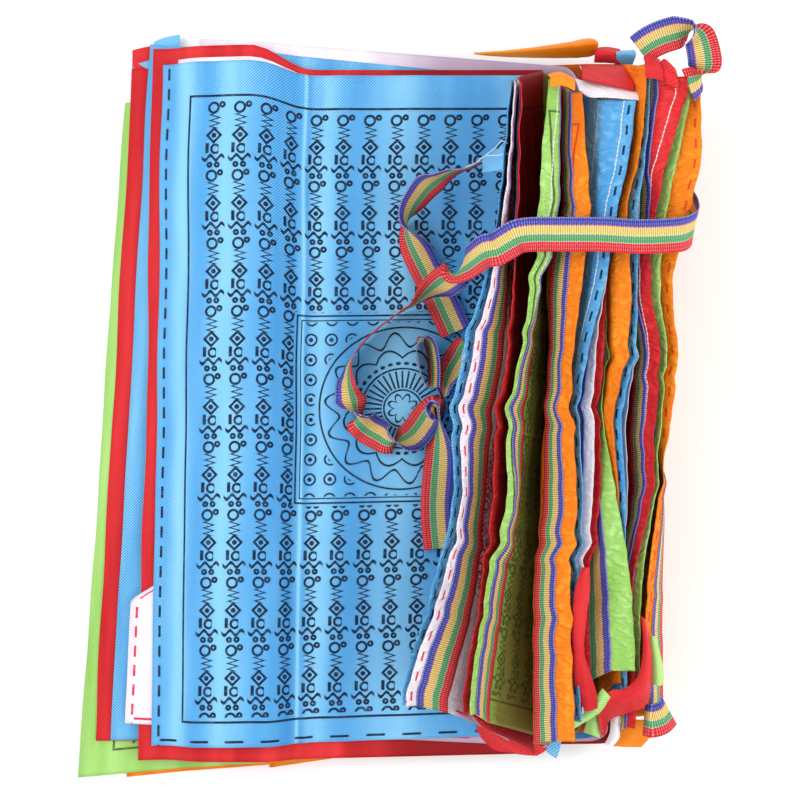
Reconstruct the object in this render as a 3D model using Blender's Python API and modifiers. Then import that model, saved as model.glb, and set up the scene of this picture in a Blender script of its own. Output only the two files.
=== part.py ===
"""A string of fifteen cloth prayer flags, folded flag on flag into a flat stack and tied by its own tape.

+X runs from the flags' free edges to their headings, +Y along the headings, +Z up from the surface it lies on.
"""

import math
from collections import namedtuple

import bmesh
import bpy
from mathutils import Vector

# Sizes, in millimetres and degrees
MM = 0.001
CLOTH = 1.0
PITCH = 1.5
TAPE_WIDTH = 20.0
TAPE_INSET = 5.5
TAPE_GAP = 0.45
RAMP_TOP_X = -85.0
RAMP_FOOT_X = -140.0
RAMP_LAYERS = 5
BULGE_FIRST = 8.0
BULGE_STEP = 1.2
ALONG = 12
WALL_STEPS = 5

# Lines of X where the flat part bends, kept at least this far from each other and from the free edge
LINE_STEP = 3.0
FLAT_X = (-149.0, -145.0, -138.0, -126.0, -85.0, -72.0, -58.0)

# The upper flags stand off the lower ones in a low loft along their free edges, between these lines of X
LOFT = 10.0
LOFT_FLAGS = 8
LOFT_FREE_X = (-151.0, -126.0)
LOFT_FALL_X = (-84.0, -60.0)

# The top three flags' upper side edges step in beside the loft, and the second flag's free edge steps out low down
STEPPED_FLAGS = 3
TOP_STEP_X = (-95.0, -54.0)
SECOND_STEP_Y = (-114.0, -130.0)
SECOND_STEP = -18.0

COLOURS = {
    "blue": (0.07, 0.37, 0.77),
    "white": (0.86, 0.84, 0.90),
    "red": (0.76, 0.02, 0.03),
    "green": (0.30, 0.66, 0.18),
    "yellow": (0.98, 0.40, 0.03),
    "tape": (0.45, 0.38, 0.20),
}

# One row for each flag, from the top of the stack down. free_* is X of its free edge at the two ends,
# the next four are Y of its side edges at the free edge and at the foot, foot_* is X where it turns up,
# head_* is Y of its heading's two ends, and tape is the face that the heading tape is sewn on.
Outline = namedtuple(
    "Outline",
    "colour free_top free_low top_free top_foot low_free low_foot foot_top foot_low head_top head_low tape",
)
OUTLINES = [
    Outline("blue", -151, -158, 214, 206, -221, -213, 86, 66, 186, -184, "left"),
    Outline("white", -140, -157, 217, 206, -207, -219, 88, 70, 186, -184, "right"),
    Outline("red", -157, -167, 225, 210, -231, -225, 90, 84, 187, -187, "left"),
    Outline("green", -120, -125, 205, 208, -214, -216, 93, 88, 189, -186, "right"),
    Outline("yellow", -118, -128, 206, 208, -216, -221, 96, 92, 182, -201, "left"),
    Outline("blue", -160, -186, 229, 204, -219, -214, 98, 95, 178, -190, ""),
    Outline("white", -128, -120, 232, 214, -222, -216, 100, 98, 187, -186, "left"),
    Outline("red", -172, -196, 214, 210, -220, -218, 103, 101, 197, -182, ""),
    Outline("green", -177, -207, 192, 208, -244, -226, 113, 108, 190, -160, "left"),
    Outline("yellow", -150, -176, 205, 216, -244, -214, 120, 112, 199, -170, ""),
    Outline("blue", -127, -127, 208, 206, -222, -218, 122, 116, 196, -175, ""),
    Outline("white", -116, -116, 210, 208, -222, -220, 126, 120, 190, -178, ""),
    Outline("red", -105, -105, 210, 212, -224, -222, 130, 124, 192, -196, "left"),
    Outline("green", -94, -94, 207, 205, -216, -210, 134, 128, 188, -174, "left"),
    Outline("yellow", -84, -84, 204, 206, -238, -206, 138, 132, 184, -186, "right"),
]

# X of each heading where it crosses nine lines of Y, a row for each flag in the same order
STATIONS = (182, 146, 110, 70, 29, -12, -58, -111, -176)
HEADING_X = [
    (65, 62, 58, 50, 38, 31, 32, 20, 3),
    (68, 65, 61, 54, 44, 36, 37, 25, 7),
    (74, 73, 71, 67, 65, 57, 55, 48, 37),
    (103, 95, 92, 83, 74, 66, 68, 58, 44),
    (108, 110, 112, 107, 102, 101, 104, 100, 102),
    (138, 133, 126, 119, 111, 106, 108, 104, 107),
    (136, 132, 127, 123, 116, 112, 113, 110, 112),
    (134, 132, 129, 127, 121, 117, 118, 115, 117),
    (134.5, 132.5, 130, 129, 126, 122, 125, 126, 128),
    (147, 144, 140, 137, 132, 127, 129, 131, 133),
    (151, 148, 144, 141, 137, 132, 133, 135, 137),
    (154, 149, 145, 142, 140, 136, 137, 138, 140),
    (167, 158, 151, 148, 150, 148, 147, 143, 146),
    (172, 165, 158, 153, 156, 153, 151, 148, 150),
    (178, 175, 168, 160, 163, 159, 156, 152, 155),
]

# Z of each heading at four of those lines, the first, third, sixth and last
HEIGHT_STATIONS = (182, 110, -12, -176)
HEADING_Z = [
    (98, 101, 98, 74),
    (100, 103, 101, 80),
    (99, 102, 103, 90),
    (98, 103, 106, 96),
    (96, 103, 105, 100),
    (90, 101, 100, 96),
    (78, 92, 96, 93),
    (68, 84, 92, 90),
    (58, 74, 88, 86),
    (92, 98, 95, 88),
    (88, 95, 93, 85),
    (76, 84, 84, 78),
    (90, 93, 92, 84),
    (84, 89, 88, 80),
    (82, 86, 85, 76),
]

# Lean of each flag's top strip from upright at four lines of Y, positive to the right
LEAN_STATIONS = (182, 70, -58, -176)
HEADING_LEAN = [
    (-6, -18, -36, -62),
    (-4, -14, -34, -64),
    (-2, -6, -18, -36),
    (12, 0, -14, -30),
    (16, 12, 10, 14),
    (30, 18, 11, 14),
    (30, 18, 11, 14),
    (30, 18, 11, 14),
    (28, 18, 12, 14),
    (18, 18, 12, 14),
    (18, 18, 12, 14),
    (18, 18, 12, 14),
    (20, 16, 14, 12),
    (22, 18, 14, 10),
    (24, 20, 16, 8),
]

# Stations along each loose length of tape: the middle of its width, and the direction across it
Station = namedtuple("Station", "x y z across")
SIDE = (0, 1, 0)
TIE_BAND = [
    Station(177, 119, 60, (0.2, 0.95, 0.1)),
    Station(178, 111, 74, (0.2, 0.95, 0.1)),
    Station(176, 103, 88, (0.2, 0.95, 0)),
    Station(169, 98, 101, (0.15, 1, 0)),
    Station(160, 96, 107, (0.1, 1, 0)),
    Station(140, 95, 110, SIDE),
    Station(117, 96, 112, SIDE),
    Station(94, 96, 113, SIDE),
    Station(79, 96, 113, SIDE),
    Station(70, 95, 112, (-0.15, 1, 0)),
    Station(64, 92, 111, (-0.45, 0.85, 0)),
    Station(57, 88, 109, (-0.5, 0.8, -0.15)),
    Station(50, 86.5, 106, (-0.5, 0.75, -0.35)),
    Station(43, 82, 97, (-0.4, 0.65, -0.6)),
    Station(37, 78, 82, (-0.1, 0.2, -1)),
    Station(32, 74, 66, (0, -0.7, -0.7)),
    Station(26, 71, 52, (0.1, -0.7, -0.7)),
    Station(18, 66, 43, (0.1, -0.4, -0.9)),
    Station(10, 60, 38, (0, -0.1, -1)),
    Station(1, 55, 34.5, (0, 0, -1)),
    Station(-9, 48, 33.5, (0, 0, -1)),
    Station(-18, 40, 33.5, (0, 0, -1)),
    Station(-26, 31, 33.5, (0, 0, -1)),
    Station(-31, 22, 33, (-0.2, 0, -1)),
    Station(-32, 12, 32, (-0.5, 0, -0.85)),
    Station(-31, 3, 28, (-0.9, 0, -0.4)),
    Station(-29, -5, 30.5, (-0.8, 0.3, 0.5)),
    Station(-25, -12, 32.5, (-0.1, 0.7, 0.7)),
    Station(-19, -18, 26.5, (0.4, 0.9, 0.15)),
    Station(-12, -22, 26, (0.4, 0.9, 0)),
    Station(-5, -26, 32, (0.3, 0.4, 0.85)),
    Station(3, -26, 31.5, (0.3, -0.6, 0.75)),
    Station(10, -22, 28, (0.5, -0.85, 0.2)),
    Station(16, -14, 28, (0.8, -0.6, 0.1)),
    Station(21, -6, 31, (0.6, -0.3, 0.7)),
    Station(24, -5, 33.5, (0.2, 0, 1)),
    Station(25, -12, 33.5, (0.1, 0, 1)),
    Station(26, -24, 31.5, (0.6, 0, 0.8)),
    Station(26, -36, 28, (0.9, 0, 0.4)),
    Station(25, -50, 26, (1, 0, 0.1)),
    Station(24, -65, 25.5, (1, 0, 0)),
    Station(24.5, -80, 25.5, (1, 0, 0)),
    Station(26, -94, 25.5, (1, 0.15, 0)),
]
TIE_TAIL = [
    Station(50, 143, 82, (-0.1, 0.3, 0.95)),
    Station(42, 140, 76, (-0.1, 0.3, 0.95)),
    Station(34, 139, 69, (-0.2, 0.35, 0.9)),
    Station(27, 137, 61, (-0.25, 0.4, 0.9)),
    Station(19, 133, 53, (-0.45, 0.5, 0.75)),
    Station(13, 127, 46, (-0.6, 0.35, 0.7)),
    Station(8, 120, 40, (-0.6, 0.2, 0.8)),
    Station(5.5, 113, 36, (-0.3, 0.1, 0.95)),
    Station(6, 106, 33, (0.3, 0.1, 0.95)),
    Station(9, 99, 29.7, (0.75, 0.25, 0.6)),
    Station(13, 91, 27, (0.87, 0.4, 0.15)),
    Station(20, 77, 26.5, (0.9, 0.42, 0)),
    Station(27, 63, 26.5, (0.9, 0.42, 0)),
    Station(32, 52, 26.5, (0.92, 0.38, 0)),
    Station(36, 43, 27, (0.92, 0.4, 0)),
]
TIE_FOLD = [
    Station(42, 36, 33, (0.4, -0.3, 0.85)),
    Station(40, 29, 30.5, (0.75, -0.55, 0.35)),
    Station(36, 22, 30, (0.78, -0.5, 0.35)),
    Station(32.5, 15, 31, (0.75, -0.3, 0.6)),
    Station(30, 8, 33, (0.35, 0, 0.95)),
    Station(29.5, 2, 33.5, (0.1, 0, 1)),
]
TIE_LOOP = [
    Station(22, 8, 33.5, (0, 0, 1)),
    Station(22.5, 17, 33.5, (0, 0, 1)),
    Station(22, 26, 33.5, (0, 0, 1)),
    Station(20.5, 33.5, 33.5, (0, 0, 1)),
    Station(18, 38, 33.5, (0, 0, 1)),
    Station(14.5, 38.5, 33.5, (0, 0, 1)),
    Station(12, 34.5, 33.5, (0, 0, 1)),
    Station(11.5, 27, 33.5, (0, 0, 1)),
    Station(13.5, 18, 33.5, (0, 0, 1)),
    Station(16.5, 9.5, 33.5, (0, 0, 1)),
]
TOP_TURN = [
    Station(144, 209, 83, (-0.55, 0.75, 0.3)),
    Station(150, 213, 86, (-0.45, 0.85, 0.2)),
    Station(157, 216, 88, (-0.35, 0.9, 0.2)),
    Station(164, 218, 89, (-0.3, 0.9, 0.3)),
    Station(170, 219.5, 90, (-0.35, 0.5, 0.8)),
    Station(175, 219.5, 90, (-0.7, 0.1, 0.7)),
    Station(179, 215, 89, (-0.95, 0.1, 0.15)),
    Station(181, 208, 89, (-1, 0.05, 0)),
    Station(182, 201, 89, (-0.95, -0.1, -0.2)),
    Station(181.5, 195, 88, (-0.5, -0.3, -0.8)),
    Station(178, 190, 88, (0.3, -0.6, -0.7)),
    Station(172, 187, 89, (0.3, -0.95, -0.1)),
]
LOW_TURN = [
    Station(163, -187, 75, (-0.6, 0.7, 0.35)),
    Station(159, -190, 80, (-0.3, 0.95, 0.1)),
    Station(153, -192, 81, SIDE),
    Station(150, -192, 80.5, SIDE),
    Station(148, -192, 75, (0.1, 1, 0)),
]


def between(low, high, share):
    return low + (high - low) * share


def along_row(stations, values, y):
    """The row's value at y: a smooth curve through the values at the stations, which fall in y."""
    last = len(stations) - 1
    index = 0
    while index < last - 1 and y < stations[index + 1]:
        index += 1
    span = stations[index] - stations[index + 1]
    share = min(max((stations[index] - y) / span, 0), 1)
    slopes = []
    for knot in (index, index + 1):
        before, after = max(knot - 1, 0), min(knot + 1, last)
        slopes.append((values[after] - values[before]) / (stations[before] - stations[after]) * span)
    start, end = values[index], values[index + 1]
    square, cube = share**2, share**3
    return (
        (2 * cube - 3 * square + 1) * start
        + (cube - 2 * square + share) * slopes[0]
        + (3 * square - 2 * cube) * end
        + (cube - square) * slopes[1]
    )


def bezier(points, share):
    rest = 1 - share
    weights = (rest**3, 3 * rest**2 * share, 3 * rest * share**2, share**3)
    return sum((point * weight for point, weight in zip(points, weights)), Vector((0, 0)))


def heading_line(number, share):
    """(heading, lean) of a flag at this share of its length: a point and the unit vector up its top strip."""
    outline = OUTLINES[number]
    y = between(outline.head_top, outline.head_low, share)
    x = along_row(STATIONS, HEADING_X[number], y)
    z = along_row(HEIGHT_STATIONS, HEADING_Z[number], y)
    lean = math.radians(along_row(LEAN_STATIONS, HEADING_LEAN[number], y))
    return Vector((x, y, z)), Vector((math.sin(lean), 0, math.cos(lean)))


def soft_step(share):
    """0 below 0 and 1 above 1, with a smooth rise between."""
    share = min(max(share, 0), 1)
    return share * share * (3 - 2 * share)


def loft(number, x):
    """How far a flag's flat part stands off the flags below it."""
    rise = soft_step((x - LOFT_FREE_X[0]) / (LOFT_FREE_X[1] - LOFT_FREE_X[0]))
    fall = soft_step((LOFT_FALL_X[1] - x) / (LOFT_FALL_X[1] - LOFT_FALL_X[0]))
    return LOFT * max(1 - number / LOFT_FLAGS, 0) * min(rise, fall)


def flat_height(number, x):
    """Z of the middle of the cloth in the stack, which steps down where the lowest flags end."""
    level = (len(OUTLINES) - 1 - number) * PITCH
    ramp = min(max((RAMP_TOP_X - x) / (RAMP_TOP_X - RAMP_FOOT_X), 0), 1)
    return CLOTH / 2 + level - ramp * RAMP_LAYERS * PITCH + loft(number, x)


def flat_y(number, x, part, share):
    """Y of the flat cloth at x, which is this part of the way from the free edge to the foot."""
    outline = OUTLINES[number]
    top_part = part
    if number < STEPPED_FLAGS:
        top_part = soft_step((x - TOP_STEP_X[0]) / (TOP_STEP_X[1] - TOP_STEP_X[0]))
    top = between(outline.top_free, outline.top_foot, top_part)
    low = between(outline.low_free, outline.low_foot, part)
    return between(top, low, share)


def free_edge(number, share):
    """X of a flag's free edge at this share of its length."""
    outline = OUTLINES[number]
    x = between(outline.free_top, outline.free_low, share)
    if number == 1:
        y = between(outline.top_free, outline.low_free, share)
        x += SECOND_STEP * soft_step((y - SECOND_STEP_Y[0]) / (SECOND_STEP_Y[1] - SECOND_STEP_Y[0]))
    return x


def section(number, share):
    """Points of a flag's cloth from its free edge to its heading, at this share of its length."""
    outline = OUTLINES[number]
    free_x = free_edge(number, share)
    foot_x = between(outline.foot_top, outline.foot_low, share)
    foot_y = between(outline.top_foot, outline.low_foot, share)
    heading, lean = heading_line(number, share)

    flat = [free_x]
    for line in FLAT_X:
        if line > min(outline.free_top, outline.free_low):
            flat.append(max(line, free_x + LINE_STEP * len(flat)))
    points = []
    for x in flat:
        y = flat_y(number, x, (x - free_x) / (foot_x - free_x), share)
        points.append(Vector((x, y, flat_height(number, x))))

    neck = heading - lean * (TAPE_INSET + TAPE_WIDTH)
    foot_z = flat_height(number, foot_x)
    bulge = BULGE_FIRST + BULGE_STEP * number
    reach = (neck.z - foot_z) * 0.4
    cage = [
        Vector((foot_x, foot_z)),
        Vector((foot_x + bulge, foot_z)),
        Vector((neck.x - lean.x * reach, neck.z - lean.z * reach)),
        Vector((neck.x, neck.z)),
    ]
    for step in range(WALL_STEPS + 1):
        at = bezier(cage, step / WALL_STEPS)
        rise = (at.y - foot_z) / (heading.z - foot_z)
        points.append(Vector((at.x, between(foot_y, heading.y, rise), at.y)))
    points.append(heading.lerp(points[-1], TAPE_INSET / (TAPE_INSET + TAPE_WIDTH)))
    points.append(heading)
    return points


def sheet(name, rows, material):
    """A cloth sheet through a grid of points, a list of rows of equal length, given its thickness."""
    across, along = len(rows[0]) - 1, len(rows) - 1
    shape = bmesh.new()
    bmesh.ops.create_grid(shape, x_segments=across, y_segments=along, size=0.5)
    for vertex in shape.verts:
        column = round((vertex.co.x + 0.5) * across)
        row = round((vertex.co.y + 0.5) * along)
        vertex.co = rows[row][column] * MM
    bmesh.ops.triangulate(shape, faces=shape.faces[:], quad_method="FIXED")
    mesh = bpy.data.meshes.new(name)
    shape.to_mesh(mesh)
    shape.free()
    mesh.materials.append(material)
    piece = bpy.data.objects.new(name, mesh)
    parts.objects.link(piece)
    shell = piece.modifiers.new("cloth thickness", "SOLIDIFY")
    shell.thickness = CLOTH * MM
    shell.offset = 0
    return piece


def make_flag(number):
    colour = OUTLINES[number].colour
    rows = [section(number, step / ALONG) for step in range(ALONG + 1)]
    sheet(f"flag_{number + 1:02d}_{colour}", rows, materials[colour])


def make_heading_tape(number):
    """The tape sewn along a flag's heading, a little in from its edge, on the face that the table names."""
    side = {"left": -1, "right": 1}[OUTLINES[number].tape]
    strips = [section(number, step / ALONG)[-3:-1] for step in range(ALONG + 1)]
    rows = []
    for step, (lower, upper) in enumerate(strips):
        run = strips[max(step - 1, 0)][1] - strips[min(step + 1, ALONG)][1]
        out = run.cross(upper - lower).normalized() * side * (CLOTH + TAPE_GAP)
        rows.append([lower + out, upper + out])
    sheet(f"heading_tape_{number + 1:02d}", rows, materials["tape"])


def make_loose_tape(name, stations):
    """A loose length of tape through its stations, square across its run at each of them."""
    middles = [Vector((station.x, station.y, station.z)) for station in stations]
    rows = []
    for index, station in enumerate(stations):
        run = middles[min(index + 1, len(middles) - 1)] - middles[max(index - 1, 0)]
        run.normalize()
        across = Vector(station.across)
        across -= run * across.dot(run)
        across.normalize()
        half = across * TAPE_WIDTH / 2
        rows.append([middles[index] - half, middles[index] + half])
    sheet(name, rows, materials["tape"])


for existing in list(bpy.data.objects):
    bpy.data.objects.remove(existing, do_unlink=True)

parts = bpy.data.collections.new("prayer_flag_bundle")
bpy.context.scene.collection.children.link(parts)

materials = {}
for colour_name, rgb in COLOURS.items():
    material = bpy.data.materials.new(f"cloth_{colour_name}")
    material.use_nodes = True
    shader = material.node_tree.nodes["Principled BSDF"]
    shader.inputs["Base Color"].default_value = (*rgb, 1)
    shader.inputs["Roughness"].default_value = 0.7
    shader.inputs["Metallic"].default_value = 0
    materials[colour_name] = material

for flag_number, flag_outline in enumerate(OUTLINES):
    make_flag(flag_number)
    if flag_outline.tape:
        make_heading_tape(flag_number)

make_loose_tape("tie_band", TIE_BAND)
make_loose_tape("tie_tail", TIE_TAIL)
make_loose_tape("tie_fold", TIE_FOLD)
make_loose_tape("tie_loop", TIE_LOOP)
make_loose_tape("top_turn", TOP_TURN)
make_loose_tape("low_turn", LOW_TURN)
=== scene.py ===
"""Looks of the folded bundle of prayer flags: printed twill, ribbed tape and white thread.

+X runs from the flags' free edges to their headings, +Y along the headings, +Z up.
Sizes are in millimetres, apart from the stage's, which are in metres.
"""

import math
from collections import namedtuple

import bpy
import numpy as np
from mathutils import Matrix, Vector, noise


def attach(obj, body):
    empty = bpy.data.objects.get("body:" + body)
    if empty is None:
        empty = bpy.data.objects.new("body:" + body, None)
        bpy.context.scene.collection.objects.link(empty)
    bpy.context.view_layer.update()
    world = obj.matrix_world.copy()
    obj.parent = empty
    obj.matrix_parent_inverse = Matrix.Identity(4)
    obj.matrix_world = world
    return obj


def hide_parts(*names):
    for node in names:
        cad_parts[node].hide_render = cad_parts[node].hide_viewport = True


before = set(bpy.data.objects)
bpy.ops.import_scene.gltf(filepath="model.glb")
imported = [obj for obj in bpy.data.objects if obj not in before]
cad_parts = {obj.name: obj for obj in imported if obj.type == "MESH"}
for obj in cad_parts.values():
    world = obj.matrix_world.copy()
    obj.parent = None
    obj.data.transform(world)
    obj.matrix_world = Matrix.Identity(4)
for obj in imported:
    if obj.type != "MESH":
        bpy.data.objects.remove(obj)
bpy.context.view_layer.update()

# Metres in a millimetre
MM = 0.001

# Sizes of the cloth, the tape and the stack, whose layers step down under the lowest flags' free edges
CLOTH = 1.0
PITCH = 1.5
TAPE_WIDTH = 20.0
RAMP_TOP_X = -85.0
RAMP_FOOT_X = -140.0
RAMP_LAYERS = 5

# How far a heading stands above its tape strip: less for a wide flap, and never under the least
FLAP_RISE = 5.5
FLAP_FALL = 0.25
FLAP_LEAST = 1.5

# How far a wall bulges at its foot, for the top flag and more for each one below, and the share of its height
# that follows the strip's lean
BULGE_FIRST = 8.0
BULGE_STEP = 1.2
NECK_SHARE = 0.2

# Smooth waves and sharp crumples of the cloth: how far they push it, and the length that they turn over.
# The slant ties the sway to the height, the slip moves the shared crush from flag to flag, the neck takes back
# a share of the crush, and only creases and painted sheen bands that are broader than BROAD drift.
WALL_SWAY = 1.2
OWN_SWAY = 0.4
SWAY_REACH = 34.0
SWAY_SLANT = 0.3
CRUSH = 0.45
CRUSH_SLIP = 5.0
SHARED_CRUSH_REACH = 26.0
OWN_CRUSH_REACH = 13.0
NECK_CRUSH = 0.5
HEADING_LIFT = 0.8
LIFT_REACH = 30.0
EDGE_WANDER = 0.8
EDGE_REACH = 60.0
CREASE_DRIFT = 4.0
DRIFT_REACH = 160.0
BROAD = 3.0
END_CRUMPLE = 0.7
CRUMPLE_REACH = 9.0

# Seeds of those waves and crumples, so that each kind has its own
EDGE_SEED = 20
LIFT_SEED = 40
SWAY_SEED = 60
DRIFT_SEED = 81
CRUMPLE_SEED = 90

# The upper flags stand off the lower ones in a low loft along their free edges, between these lines of X
LOFT = 10.0
LOFT_FLAGS = 8
LOFT_FREE_X = (-151.0, -126.0)
LOFT_FALL_X = (-60.0, -84.0)

# The top three flags' upper side edges step in by the loft, and the second's free edge steps out low down
STEPPED_FLAGS = 3
TOP_STEP_X = (-95.0, -54.0)
SECOND_STEP_Y = (-114.0, -130.0)
SECOND_STEP = -18.0

# Sizes of the sheets, and the rows and columns of their grids
FLAG_LENGTH = 435.0
SHEET = 0.5
TAPE_THICK = 0.5
TAPE_GAP = 0.65
ROWS = 168
TOP_FLAT_COLUMNS = 96
FLAT_COLUMNS = 30
WALL_COLUMNS = 26
TAPE_COLUMNS = 7
EDGE_COLUMNS = 4
LOOSE_COLUMNS = 8
LOOSE_STEPS = 10
END_STEPS = 8
THREAD_STEPS = 8
THREAD_SIDES = 5

# How far off the print the maps of the small cloth ends lie, so that none of it shows on them
BARE_START = 300.0

# One row for each flag, from the top of the stack down. free_* is X of its free edge at the two ends,
# the next four are Y of its side edges at the free edge and at the foot, foot_* is X where it turns up,
# head_* is Y of its heading's two ends, and tape is the face that the heading tape is sewn on.
Outline = namedtuple(
    "Outline",
    "colour free_top free_low top_free top_foot low_free low_foot foot_top foot_low head_top head_low tape",
)
OUTLINES = [Outline(*row) for row in (
    ("blue", -151, -158, 214, 206, -221, -213, 86, 66, 186, -184, "left"),
    ("white", -140, -157, 217, 206, -207, -219, 88, 70, 186, -184, "right"),
    ("red", -157, -167, 225, 210, -231, -225, 90, 84, 187, -187, "left"),
    ("green", -120, -125, 205, 208, -214, -216, 93, 88, 189, -186, "right"),
    ("yellow", -118, -128, 206, 208, -216, -221, 96, 92, 182, -201, "left"),
    ("blue", -160, -186, 229, 204, -219, -214, 98, 95, 178, -190, ""),
    ("white", -128, -120, 232, 214, -222, -216, 100, 98, 187, -186, "left"),
    ("red", -172, -196, 214, 210, -220, -218, 103, 101, 197, -182, ""),
    ("green", -177, -207, 192, 208, -244, -215, 113, 108, 190, -160, "left"),
    ("yellow", -150, -176, 205, 216, -244, -214, 120, 112, 199, -170, ""),
    ("blue", -127, -127, 208, 206, -222, -218, 122, 116, 196, -175, ""),
    ("white", -116, -116, 210, 208, -222, -220, 126, 120, 190, -178, ""),
    ("red", -105, -105, 210, 212, -224, -222, 130, 124, 192, -196, "left"),
    ("green", -94, -94, 207, 205, -216, -210, 134, 128, 188, -174, "left"),
    ("yellow", -84, -84, 204, 206, -238, -206, 138, 132, 184, -186, "right"),
)]

# X of each heading where it crosses nine lines of Y, a row for each flag in the same order
STATIONS = (182, 146, 110, 70, 29, -12, -58, -111, -176)
HEADING_X = [
    (65, 62, 58, 50, 38, 31, 32, 20, 2),
    (68, 65, 61, 54, 44, 36, 37, 25, 4),
    (72, 71, 70, 67, 64, 57, 55, 48, 38),
    (88, 84, 82, 77, 72, 63, 63, 51, 42),
    (108, 110, 112, 107, 102, 101, 104, 100, 103),
    (141, 136, 128, 121, 111, 106, 108, 105, 107),
    (138, 134.5, 127.5, 122, 116, 115, 114, 109, 109),
    (133, 133, 126.5, 123.5, 121, 119, 119, 112, 114),
    (132, 129, 124.5, 124, 123.5, 121, 129, 137, 140),
    (146, 142, 134, 137, 134, 127, 130, 130, 133),
    (149, 146, 141, 141, 139, 132, 134, 134, 136),
    (146, 144, 143.5, 138, 140.5, 135.5, 136.5, 133, 134.4),
    (171, 160, 152, 149, 154, 152, 149, 139, 141),
    (174, 166, 159, 155, 159, 156, 152, 145, 144),
    (180, 180, 173, 163, 166, 162, 155, 149, 147),
]

# How far each heading stands out from the top of its tape strip, at the same lines: to the left below zero
FLAP = [
    (-1, -1, -1, -3, -5, -5, -4, -5, -6),
    (-1, -1, -2, -3, -4, -5, -3, -5, -6),
    (0, 0, 0, -1, -2, -3, -3, -4, -4),
    (-7, -10, -11, -6.5, -2.5, -2.5, -4.7, -3, -3),
    (5, 8, 8.4, 7.7, 5.3, 6.5, 7, 8.2, 10),
    (20, 17, 11, 8, 5, 2.5, 3, 3, 3),
    (17, 14, 6.5, 2, 3, 4.7, 5, 4, 2),
    (13, 12, 5.5, 2, 4, 3.5, 4, 5, 6),
    (9, 5, 2, 1.3, 1.5, 1.5, 9, 13, 14),
    (3, 3, 4, 11, 8, 4.7, 3, 3, 4),
    (2, 3, 4.5, 3, 4, 4.7, 4, 2, 3),
    (0.5, 0.5, 1.5, 0.8, 1.5, 1.5, 1.5, 0.8, 1),
    (17, 10.6, 2.5, 7.7, 6.5, 5.4, 3.6, 3, 4),
    (8, 6, 5.4, 5.4, 3.6, 2.4, 3, 4, 3),
    (6, 18, 15, 7, 6, 6, -3, -4.5, -4),
]

# Lean of each tape strip from upright at the same lines, in degrees, positive to the right
LEAN = [
    (-4, -6, -8, -20, -40, -42, -38, -52, -74),
    (-2, -4, -8, -24, -44, -44, -34, -50, -76),
    (0, -1, -2, -6, -10, -14, -16, -24, -28),
    (0, -3, -6, -4, -15, -26, -12, -25, -27),
    (10, 12, 15, 26, 17, 19, 30, 30, 34),
    (26, 26, 24, 22, 16, 12, 14, 16, 20),
    (26, 24, 20, 14, 10, 14, 16, 16, 20),
    (24, 22, 18, 14, 10, 10, 12, 14, 14),
    (20, 18, 16, 12, 10, 10, 20, 42, 48),
    (12, 14, 10, 4, 6, 10, 12, 14, 16),
    (14, 14, 14, 12, 12, 10, 10, 12, 14),
    (14, 14, 14, 12, 12, 10, 10, 10, 12),
    (20, 18, 16, 12, 12, 15, 12, 10, 8),
    (22, 20, 18, 14, 12, 10, 8, 4, 0),
    (24, 22, 18, 12, 6, 0, -10, -22, -32),
]

# Z of each heading at four of those lines, the first, third, sixth and last
HEIGHT_STATIONS = (182, 110, -12, -176)
HEADING_Z = [
    (98, 101, 98, 74),
    (100, 103, 101, 80),
    (99, 102, 103, 90),
    (98, 103, 106, 96),
    (96, 103, 105, 100),
    (90, 101, 100, 96),
    (78, 92, 96, 93),
    (68, 84, 92, 90),
    (58, 74, 90, 96),
    (92, 98, 94, 82),
    (88, 95, 93, 85),
    (76, 84, 84, 78),
    (90, 93, 92, 84),
    (84, 89, 88, 80),
    (82, 86, 85, 76),
]

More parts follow.
